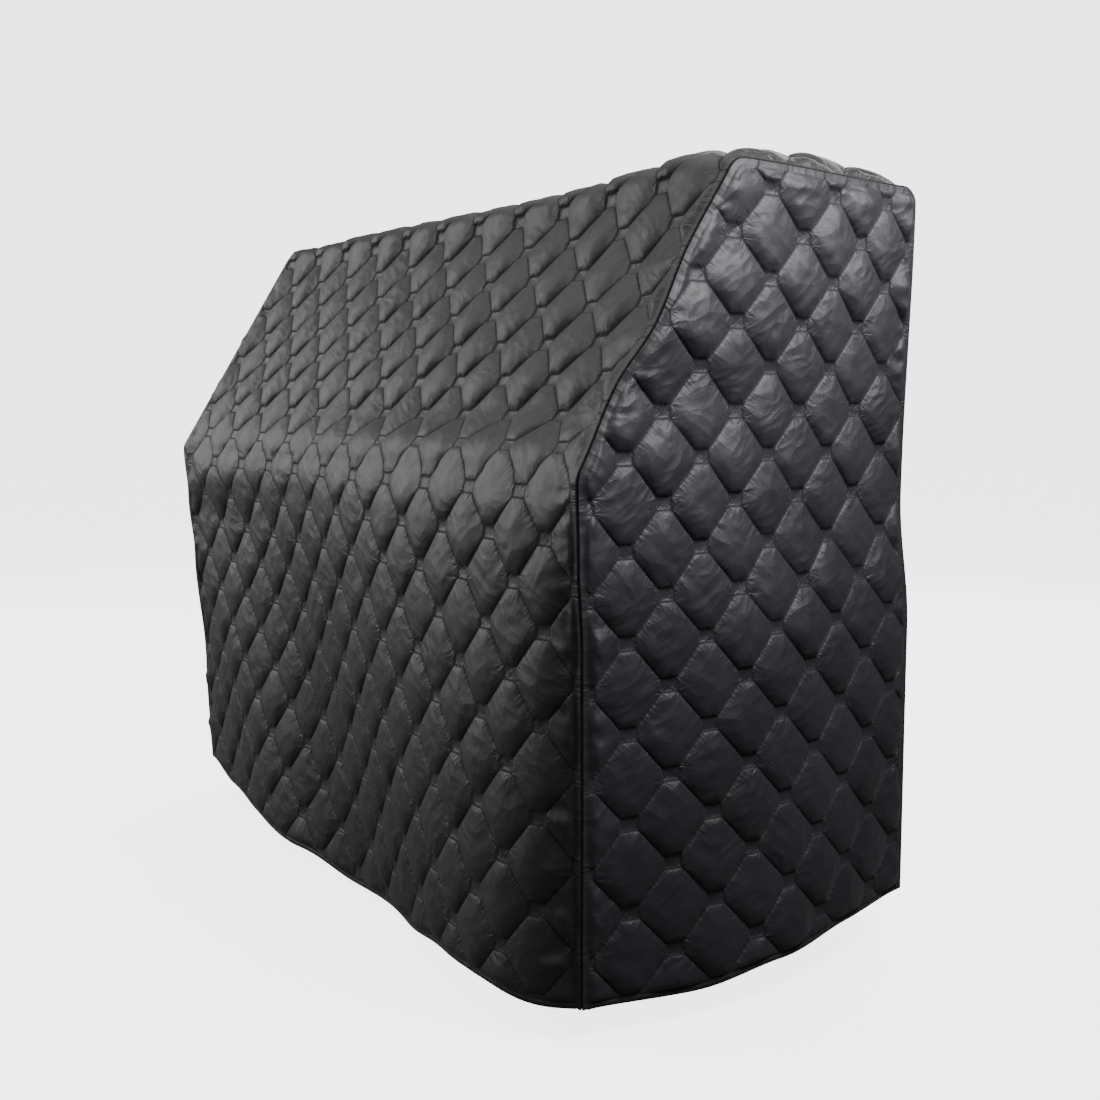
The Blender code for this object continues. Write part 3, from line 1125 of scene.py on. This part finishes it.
class Graph:
    """Adds and joins the nodes of one shader tree."""

    def __init__(self, tree: Tree) -> None:
        """Work on this tree."""
        self.tree = tree

    def feed(self, node: Node, given: dict[object, object]) -> None:
        """Give a node's inputs values, or join outputs to them.

        Args:
            node: The node.
            given: What its inputs get, by name or number.
        """
        for key, value in given.items():
            value = value.socket if isinstance(value, Value) else value
            if isinstance(value, Socket):
                self.tree.links.new(value, node.inputs[key])
            else:
                node.inputs[key].default_value = value

    def node(self, kind: str, given: dict[object, object], **settings: object) -> Node:
        """Add a node.

        Args:
            kind: Its type.
            given: What its inputs get, by name or number.
            **settings: Its properties.

        Returns:
            The node.
        """
        node = self.tree.nodes.new(kind)
        for name, value in settings.items():
            setattr(node, name, value)
        self.feed(node, given)
        return node

    def math(self, operation: str, *values: object) -> Value:
        """Add a Math node that works on these values."""
        node = self.node("ShaderNodeMath", dict(enumerate(values)), operation=operation)
        return Value(self, node.outputs[0])

    def hypot(self, x: Value, y: Value) -> Value:
        """Length of a diagonal."""
        return self.math("SQRT", x * x + y * y)

    def fading(self, distance: Value, reach: float) -> Value:
        """Fade from 1 towards 0 as a distance grows."""
        return self.math("EXPONENT", distance / -reach)

    def ramp(self, value: object, low: float, high: float, start: float = 0.0, end: float = 1.0) -> Value:
        """Ease from one result to another as a value goes from low to high."""
        given = dict(enumerate((value, low, high, start, end)))
        return Value(self, self.node("ShaderNodeMapRange", given, interpolation_type="SMOOTHSTEP").outputs[0])

    def vector(self, *parts: object) -> Socket:
        """Join numbers into a vector."""
        return self.node("ShaderNodeCombineXYZ", dict(enumerate(parts))).outputs[0]

    def split(self, vector: object) -> list[Value]:
        """Split a vector into its numbers."""
        return [Value(self, part) for part in self.node("ShaderNodeSeparateXYZ", {0: vector}).outputs]

    def noise(self, vector: object, scale: float, detail: float = 2.0) -> Value:
        """Read a Noise Texture, with this many features to a unit of the vector, from 0 to 1."""
        given = {"Vector": vector, "Scale": scale, "Detail": detail, "Roughness": 0.5}
        return Value(self, self.node("ShaderNodeTexNoise", given).outputs[0])

    def mix(self, share: object, start: object, end: Triple) -> Socket:
        """Blend from a colour, or a colour output, to another colour."""
        start = (*start, 1.0) if isinstance(start, tuple) else start
        return self.node("ShaderNodeMix", {0: share, 6: start, 7: (*end, 1.0)}, data_type="RGBA").outputs[2]

    def attribute(self, name: str) -> Value:
        """Read an attribute of the mesh."""
        return Value(self, self.node("ShaderNodeAttribute", {}, attribute_name=name).outputs["Fac"])

    def group(self, tree: Tree, vector: object) -> list[Value]:
        """Use a node group at a place on the cloth."""
        node = self.node("ShaderNodeGroup", {0: vector}, node_tree=tree)
        return [Value(self, found) for found in node.outputs]


def start_group(name: str, vector: str, outputs: tuple[str, ...]) -> tuple[Graph, object, Node]:
    """Start a node group that the cloths' finishes share.

    Args:
        name: Its name.
        vector: Its one input, a vector.
        outputs: Its outputs, all numbers.

    Returns:
        Its graph, the input's vector, and the node that takes the outputs.
    """
    tree = bpy.data.node_groups.new(name, "ShaderNodeTree")
    tree.interface.new_socket(vector, in_out="INPUT", socket_type="NodeSocketVector")
    for title in outputs:
        tree.interface.new_socket(title, in_out="OUTPUT", socket_type="NodeSocketFloat")
    g = Graph(tree)
    return g, g.node("NodeGroupInput", {}).outputs[vector], g.node("NodeGroupOutput", {})


@dataclass(frozen=True)
class Stitching:
    """The quilting's stitches: their thread, and the puckers they draw in the cloth."""

    half_stitch: float = 0.0017
    thread_edge: Pair = (0.0004, 0.0007)
    stitch_end: Pair = (0.0002, 0.0005)
    corner_stitch: float = 0.6
    fold_size: Pair = (0.0055, 0.030)
    fold_reach: float = 0.007
    rays: float = 2.2
    ray_reach: float = 0.014
    ray_height: float = 1.6
    drift: Pair = (3.7, 2.3)

    def group(self) -> Tree:
        """Build the group.

        Returns:
            A group that turns column and row into the distance to a stitch line, the thread and the puckers.
        """
        g, lattice, result = start_group("quilting_stitches", "Lattice", ("Line", "Thread", "Pucker"))
        half_w, half_h = QUILTING.width / 2, QUILTING.height / 2
        box_w, box_h = QUILTING.box_half_width, QUILTING.box_half_height
        column, row, _ = g.split(lattice)
        x = g.math("PINGPONG", column, 0.5) * QUILTING.width
        y = g.math("PINGPONG", row, 0.5) * QUILTING.height

        def to_box(across: Value, up: Value) -> Value:
            """Find the signed distance to the stitched box's edge.

            Args:
                across: Distance across from its middle.
                up: Distance up from its middle.

            Returns:
                The distance.
            """
            past_w, past_h = across - box_w, up - box_h
            outside = g.hypot(g.math("MAXIMUM", past_w, 0.0), g.math("MAXIMUM", past_h, 0.0))
            return outside + g.math("MINIMUM", g.math("MAXIMUM", past_w, past_h), 0.0)

        box = g.math("MINIMUM", to_box(x, y), to_box(half_w - x, half_h - y))
        run_x, run_y = half_w - 2 * box_w, half_h - 2 * box_h
        length = math.hypot(run_x, run_y)
        from_x, from_y = x - box_w, y - box_h
        along = from_x * (run_x / length) + from_y * (run_y / length)
        aside = from_x * (run_y / length) - from_y * (run_x / length)
        past = g.math("MAXIMUM", g.math("MAXIMUM", along * -1.0, along - length), 0.0)
        line = g.math("MINIMUM", g.math("ABSOLUTE", box), g.hypot(aside, past))
        dash = g.math("PINGPONG", along + box * self.corner_stitch, self.half_stitch)
        drift = column * self.drift[0] + row * self.drift[1]
        folds = g.noise(g.vector(along / self.fold_size[0], aside / self.fold_size[1], drift), 1.0, 1.0)
        rays = g.noise(g.vector(g.math("ARCTAN2", from_y, from_x) * self.rays, drift), 1.0, 1.0)
        by_line = g.fading(line, self.fold_reach)
        by_corner = g.fading(g.hypot(from_x, from_y), self.ray_reach)
        g.feed(result, {
            "Line": line,
            "Thread": g.ramp(line, *self.thread_edge, 1.0, 0.0) * g.ramp(dash, *self.stitch_end),
            "Pucker": (folds - 0.5) * by_line + (rays - 0.5) * by_corner * self.ray_height,
        })
        return g.tree


@dataclass(frozen=True)
class Crinkle:
    """Creases from packing, the lumps of the wadding, and the weave."""

    facets: tuple[Triple, ...] = ((38.0, 0.050, 0.027), (-31.0, 0.036, 0.015), (79.0, 0.028, 0.011))
    bend: float = 9.0
    bend_by: float = 0.05
    worn: Triple = (11.0, 0.42, 0.62)
    rare: Triple = (17.0, 0.52, 0.66)
    rare_height: float = 0.30
    unworn: Pair = (0.80, 0.65)
    lumps: float = 45.0
    threads: float = 500.0
    thread_sway: float = 0.4

    def group(self) -> Tree:
        """Build the group.

        Returns:
            A group that turns a place on the cloth in metres into creases, lumps and weave.
        """
        g, given, result = start_group("cloth_crinkle", "Cloth", ("Crease", "Lump", "Weave"))
        bend = g.node("ShaderNodeTexNoise", {"Vector": given, "Scale": self.bend}).outputs["Color"]
        bent = {0: bend, 1: (self.bend_by, self.bend_by, 0.0), 2: given}
        warped = g.node("ShaderNodeVectorMath", bent, operation="MULTIPLY_ADD").outputs[0]
        creases = []
        for turn, long, wide in self.facets:
            turned = {"Vector": warped, "Location": (turn, 0.0, 0.0),
                      "Rotation": (0.0, 0.0, math.radians(turn)), "Scale": (long, wide, 1.0)}
            place = g.node("ShaderNodeMapping", turned, vector_type="TEXTURE").outputs[0]
            facet = g.node("ShaderNodeTexVoronoi", {"Vector": place, "Scale": 1.0}, feature="F1")
            creases.append(Value(g, facet.outputs["Distance"]))
        worn = g.ramp(g.noise(given, self.worn[0], 1.0), *self.worn[1:])
        rare = g.ramp(g.noise(given, self.rare[0], 1.0), *self.rare[1:])
        crease = creases[0] * worn + creases[1] * (self.unworn[0] - worn * self.unworn[1])
        waves = {"Vector": given, "Scale": self.threads, "Distortion": self.thread_sway}
        warp, weft = (
            g.node("ShaderNodeTexWave", waves, wave_type="BANDS", bands_direction=axis).outputs["Fac"]
            for axis in ("X", "Y")
        )
        g.feed(result, {
            "Crease": crease + creases[2] * (rare * self.rare_height),
            "Lump": g.noise(given, self.lumps),
            "Weave": g.math("MULTIPLY", warp, weft),
        })
        return g.tree


@dataclass(frozen=True)
class Nylon:
    """Satin nylon quilted over wadding: near black, with a soft shine. Its heights are in millimetres."""

    name: str
    colour: Triple
    light_colour: Triple
    thread_colour: Triple = (0.014, 0.014, 0.016)
    lint_colour: Triple = (0.22, 0.22, 0.23)
    # Near black along each seam: the seam's thread, and painted shade in its pinched valley.
    seam_thread_and_shade_colour: Triple = (0.003, 0.003, 0.003)
    roughness: float = 0.50
    roughness_spread: float = 0.16
    line_roughness: float = 0.35
    line_edge: Pair = (0.0006, 0.0025)
    # Near a stitch or hem line the paler patches are held back, so the lines stay darker: painted shade in
    # the creases.
    line_shade_width: float = 0.0022
    seam_line: Pair = (0.0004, 0.0016)
    seam_roughness: float = 0.45
    sheen: float = 0.04
    sheen_roughness: float = 0.45
    specular: float = 0.42
    patches: float = 5.0
    patch_edge: Pair = (0.30, 0.70)
    rubbed: float = 0.35
    rubbed_width: float = 0.004
    lint_cells: float = 90.0
    lint_rarity: float = 0.965
    lint_edge: Pair = (0.05, 0.09)
    lint_strength: float = 0.6
    hem_half_stitch: float = 0.0018
    hem_thread_edge: Pair = (0.0005, 0.0009)
    hem_stitch_end: Pair = (0.0002, 0.0006)
    thread_from_seam: float = 0.002
    crease: float = 2.60
    lump: float = 0.18
    pucker: float = 2.3
    thread: float = 0.35
    hem_groove: float = 0.5
    groove_width: float = 0.0020
    weave: float = 0.03
    gathers: Pair = (55.0, 140.0)
    seam_pucker: float = 1.2
    seam_reach: float = 0.016
    top_rows: Pair = (-1.7, -0.9)
    lower_share: float = 0.25
    hem_pucker: float = 0.6
    hem_reach: float = 0.006

    def lint(self, g: Graph, cloth: Socket) -> Value:
        """Scatter a few specks of lint.

        Args:
            g: The finish's graph.
            cloth: Place on the cloth in metres.

        Returns:
            1 on a speck and 0 off it.
        """
        cells = g.node("ShaderNodeTexVoronoi", {"Vector": cloth, "Scale": self.lint_cells}, feature="F1")
        chosen = g.node("ShaderNodeSeparateColor", {0: cells.outputs["Color"]}).outputs[0]
        chosen = g.math("GREATER_THAN", chosen, self.lint_rarity)
        return g.ramp(cells.outputs["Distance"], *self.lint_edge, 1.0, 0.0) * chosen

    def dress(self, piece: Piece, stitches: Tree, crinkle: Tree) -> None:
        """Give a cloth this finish.

        Args:
            piece: The cloth.
            stitches: The stitches' group.
            crinkle: The creases' group.
        """
        material = bpy.data.materials.new(self.name)
        material.use_nodes = True
        material.diffuse_color = (*self.colour, 1.0)
        g = Graph(material.node_tree)
        lattice = g.node("ShaderNodeUVMap", {}, uv_map="cloth").outputs[0]
        repeat = {0: lattice, 1: (QUILTING.width, QUILTING.height, 1.0)}
        cloth = g.node("ShaderNodeVectorMath", repeat, operation="MULTIPLY").outputs[0]
        (across, down, _), (_, row, _) = g.split(cloth), g.split(lattice)
        hem, seam = g.attribute("hem"), g.attribute("seam")
        line, stitch, pucker = g.group(stitches, lattice)
        crease, lump, weave = g.group(crinkle, cloth)

        hem_line = g.math("ABSOLUTE", hem - QuiltedCloth.hem_stitch)
        hem_dash = g.math("PINGPONG", across, self.hem_half_stitch)
        hem_thread = g.ramp(hem_line, *self.hem_thread_edge, 1.0, 0.0)
        hem_thread = hem_thread * g.ramp(hem_dash, *self.hem_stitch_end)
        thread = g.math("MAXIMUM", stitch, hem_thread) * g.ramp(seam, 0.0, self.thread_from_seam)
        creased = g.math("MINIMUM", line, hem_line)
        # in_seam marks the seam valley: it raises roughness there and turns the colour near black, as thread
        # and as painted shade in the pinch.
        in_seam = g.ramp(seam, *self.seam_line, 1.0, 0.0)

        patch = g.noise(cloth, self.patches)
        # Paler cloth in random patches, held back near the stitch and hem lines so these stay darker as
        # painted shade in the creases.
        paler_off_line_shade = g.ramp(patch, *self.patch_edge) * g.ramp(creased, 0.0, self.line_shade_width)
        colour = g.mix(paler_off_line_shade, self.colour, self.light_colour)
        rubbed = g.ramp(hem, 0.0, self.rubbed_width, self.rubbed, 0.0) * patch
        colour = g.mix(rubbed, colour, self.thread_colour)
        colour = g.mix(thread, colour, self.thread_colour)
        colour = g.mix(self.lint(g, cloth) * self.lint_strength, colour, self.lint_colour)
        rough = (lump - 0.5) * self.roughness_spread + self.roughness + in_seam * self.seam_roughness

        near_seam = g.fading(seam, self.seam_reach) * g.ramp(row, *self.top_rows, 1.0, self.lower_share)
        gathers = g.noise(g.vector(across * self.gathers[0], down * self.gathers[1]), 1.0, 1.0)
        edges = near_seam * self.seam_pucker + g.fading(hem_line, self.hem_reach) * self.hem_pucker
        height = crease * self.crease + lump * self.lump + pucker * self.pucker + gathers * edges
        groove = g.ramp(hem_line, 0.0, self.groove_width, -self.hem_groove, 0.0)
        height = height + thread * self.thread + groove
        bump = {"Distance": MILLIMETRE, "Strength": 1.0, "Height": height + weave * self.weave}
        g.feed(material.node_tree.nodes["Principled BSDF"], {
            "Base Color": g.mix(in_seam, colour, self.seam_thread_and_shade_colour),
            "Roughness": rough + g.ramp(creased, *self.line_edge, self.line_roughness, 0.0),
            "Metallic": 0.0,
            "Specular IOR Level": self.specular,
            "Sheen Weight": self.sheen,
            "Sheen Roughness": self.sheen_roughness,
            "Normal": g.node("ShaderNodeBump", bump).outputs[0],
        })
        piece.data.materials.clear()
        piece.data.materials.append(material)


@dataclass(frozen=True)
class SoftLight:
    """One soft light: where it hangs and aims, its width and height, and its power in watts."""

    name: str
    place: Triple
    aim: Triple
    size: Pair
    power: float

    def hang(self) -> None:
        """Hang the light."""
        lamp = bpy.data.lights.new(self.name, "AREA")
        lamp.shape = "RECTANGLE"
        lamp.size, lamp.size_y = self.size
        lamp.energy = self.power
        light = bpy.data.objects.new(self.name, lamp)
        across, along, up = np.array(self.aim) - np.array(self.place)
        light.location = self.place
        light.rotation_euler = (math.atan2(math.hypot(across, along), -up), 0.0, math.atan2(-across, along))
        light.visible_camera = False
        bpy.context.scene.collection.objects.link(light)


@dataclass
class Studio:
    """The floor, the lights and the camera."""

    camera_place: Triple = (2.1890, -1.3873, 0.9010)
    camera_turn: float = 54.86
    camera_dip: float = 6.48
    field_of_view: float = 45.0
    floor_height: float = -0.012
    floor_half: float = 14.0
    floor_colour: Triple = (0.92, 0.92, 0.92)
    floor_bounce: Triple = (0.10, 0.10, 0.10)
    floor_glow: float = 3.4
    floor_roughness: float = 0.8
    floor_patches: float = 0.8
    floor_mottle: float = 0.03
    air_seen: float = 3.4
    air_light: float = 0.065
    air_colour: Floats = (0.97, 0.98, 1.0, 1.0)
    lights: tuple[SoftLight, ...] = (
        SoftLight("key_light", (-3.2, -2.7, 2.2), (-0.2, -0.3, 0.6), (4.4, 3.0), 146.0),
        SoftLight("fill_light", (1.4, -3.2, 1.7), (0.1, -0.3, 0.7), (2.6, 2.0), 6.0),
        SoftLight("top_light", (0.2, -0.6, 3.8), (0.2, -0.1, 0.9), (5.0, 4.0), 98.0),
        SoftLight("end_light", (1.62, 0.36, 1.80), (0.8, 0.1, 1.72), (1.1, 0.7), 43.0),
        SoftLight("back_light", (-1.6, 3.6, 2.6), (0.0, 0.3, 0.6), (3.0, 2.0), 110.0),
    )

    def floor(self) -> None:
        """Build the plain pale floor."""
        bpy.ops.object.select_all(action="DESELECT")
        bpy.ops.mesh.primitive_plane_add(size=2 * self.floor_half, location=(0.0, 0.0, self.floor_height))
        floor = bpy.context.object
        floor.name = "studio_floor"
        bpy.ops.object.transform_apply(location=True, rotation=False, scale=False)
        material = bpy.data.materials.new("pale_floor")
        material.use_nodes = True
        g = Graph(material.node_tree)
        place = g.node("ShaderNodeTexCoord", {}).outputs["Object"]
        seen = Value(g, g.node("ShaderNodeLightPath", {}).outputs["Is Camera Ray"])
        mottle = g.noise(place, self.floor_patches)
        g.feed(material.node_tree.nodes["Principled BSDF"], {
            "Base Color": g.mix(seen - mottle * self.floor_mottle, self.floor_bounce, self.floor_colour),
            "Roughness": self.floor_roughness,
            "Emission Color": g.mix(seen, (0.0, 0.0, 0.0), (1.0, 1.0, 1.0)),
            "Emission Strength": self.floor_glow,
        })
        floor.data.materials.append(material)

    def camera(self) -> None:
        """Set up the camera."""
        lens = bpy.data.cameras.new("camera")
        lens.sensor_fit = "HORIZONTAL"
        lens.angle = math.radians(self.field_of_view)
        camera = bpy.data.objects.new("camera", lens)
        camera.location = self.camera_place
        camera.rotation_euler = (math.radians(90 - self.camera_dip), 0.0, math.radians(self.camera_turn))
        bpy.context.scene.collection.objects.link(camera)
        bpy.context.scene.camera = camera

    def build(self) -> None:
        """Build the studio."""
        self.camera()
        self.floor()
        for light in self.lights:
            light.hang()
        world = bpy.data.worlds.new("studio_air")
        bpy.context.scene.world = world
        world.use_nodes = True
        g = Graph(world.node_tree)
        seen = Value(g, g.node("ShaderNodeLightPath", {}).outputs["Is Camera Ray"])
        g.feed(world.node_tree.nodes["Background"], {
            "Color": self.air_colour,
            "Strength": seen * self.air_seen + self.air_light,
        })


@dataclass
class PianoCover:
    """The whole cover: the body cloth in two parts that meet on a row of stitches, and the two end panels."""

    body_weave: Weave = Weave(7, 4, 3, (0.035, 0.09, 0.18, 0.33, 0.55, 0.78))
    panel_weave: Weave = Weave(10, 5, 4, (0.03, 0.07, 0.13, 0.21, 0.31, 0.43, 0.57, 0.72, 0.87))
    front_row: float = 5.5
    split_row: float = -8.0
    back_row: float = -18.5
    body_finish: Nylon = Nylon("body_nylon", (0.016, 0.016, 0.0165), (0.022, 0.022, 0.0225),
                               crease=2.1, seam_pucker=3.6)
    panel_finish: Nylon = Nylon("panel_nylon", (0.020, 0.0193, 0.0245), (0.028, 0.0270, 0.0345))

    def build(self) -> None:
        """Build and dress every cloth, attach it to the root and hide its CAD part."""
        stitches, crinkle = Stitching().group(), Crinkle().group()
        front = BodyCloth(self.body_weave, seed=3, rows=(self.split_row, self.front_row))
        back = BodyCloth(self.body_weave, seed=3, name="body_cloth_back", hem_at_back=True,
                         rows=(self.back_row, self.split_row - 0.5), flat=(1.60, 1.25))
        right = EndPanel(self.panel_weave, seed=11)
        left = EndPanel(self.panel_weave, seed=23, end=End.LEFT, name="left_end_panel_cloth")
        for cloth, node, slot, finish, held in (
            (front, "body_cloth", "body_quilt", self.body_finish, "draped"),
            (back, "body_cloth", "body_quilt", self.body_finish, "draped"),
            (right, "right_end_panel", "panel_quilt", self.panel_finish, "hung"),
            (left, "left_end_panel", "panel_quilt", self.panel_finish, "hung"),
        ):
            piece = cloth.build()
            finish.dress(piece, stitches, crinkle)
            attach(piece, "root")
            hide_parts(node)
            isinstance(cloth, EndPanel)
            triangles = sum(len(face.vertices) - 2 for face in piece.data.polygons)
            LOG.info("%s: %d triangles", piece.name, triangles)


def main() -> None:
    """Build the studio and the cover, and note the sizes."""
    logging.basicConfig(level=logging.INFO, format="%(name)s: %(message)s")
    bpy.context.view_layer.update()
    Studio().build()
    PianoCover().build()


if __name__ == "__main__":
    main()
